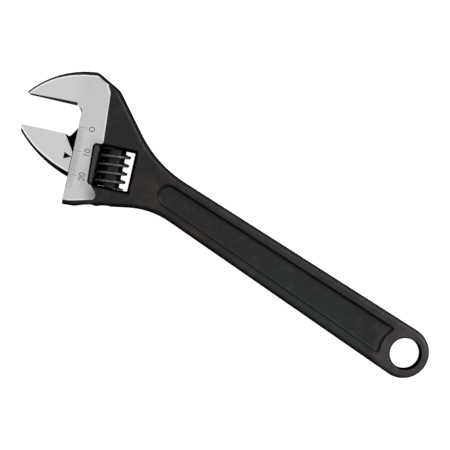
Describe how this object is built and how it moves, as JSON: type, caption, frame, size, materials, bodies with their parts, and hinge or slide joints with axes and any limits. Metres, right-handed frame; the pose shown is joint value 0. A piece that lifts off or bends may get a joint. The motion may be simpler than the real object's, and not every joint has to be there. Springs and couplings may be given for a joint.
{
  "type": "adjustable wrench",
  "caption": "Adjustable wrench with a forged handle and fixed jaw, and a sliding jaw driven by a ridged worm in the head's window",
  "frame": {"origin": "centre of the hang hole on the mid-plane between the two flat sides", "axes": "+X along the handle from the hang hole to the head, +Y toward the side the moving jaw opens to, +Z square to the flat sides; the head is turned 21 degrees about +Z"},
  "size_m": [0.2008, 0.0539, 0.0132],
  "materials": {
    "phosphated_forging": "fine matt black phosphate with ground bright flats on the head",
    "ground_jaw": "ground flats with blackened edges",
    "blackened_worm": "satin black oxide",
    "pin_steel": "blackened turned steel",
    "spring_steel": "drawn wire"
  },
  "bodies": {
    "wrench_body": {"body": "phosphated_forging", "worm_pin": "pin_steel", "worm_spring": "spring_steel"},
    "jaw": {"moving_jaw": "ground_jaw"},
    "adjuster": {"worm": "blackened_worm"}
  },
  "joints": [
    {"name": "jaw_slide", "type": "slide", "parent": "wrench_body", "child": "jaw", "axis": [-0.3584, 0.9336, 0], "range_m": [-0.0128, 0.012]},
    {"name": "worm_spin", "type": "hinge", "parent": "wrench_body", "child": "adjuster", "pos_m": [0.14373, 0.00318, 0], "axis": [0.3584, -0.9336, 0], "range_deg": [-1340, 1240]}
  ],
  "couplings": [
    {"joint": "worm_spin", "follows": "jaw_slide", "rad_per_m": 1795.2}
  ]
}
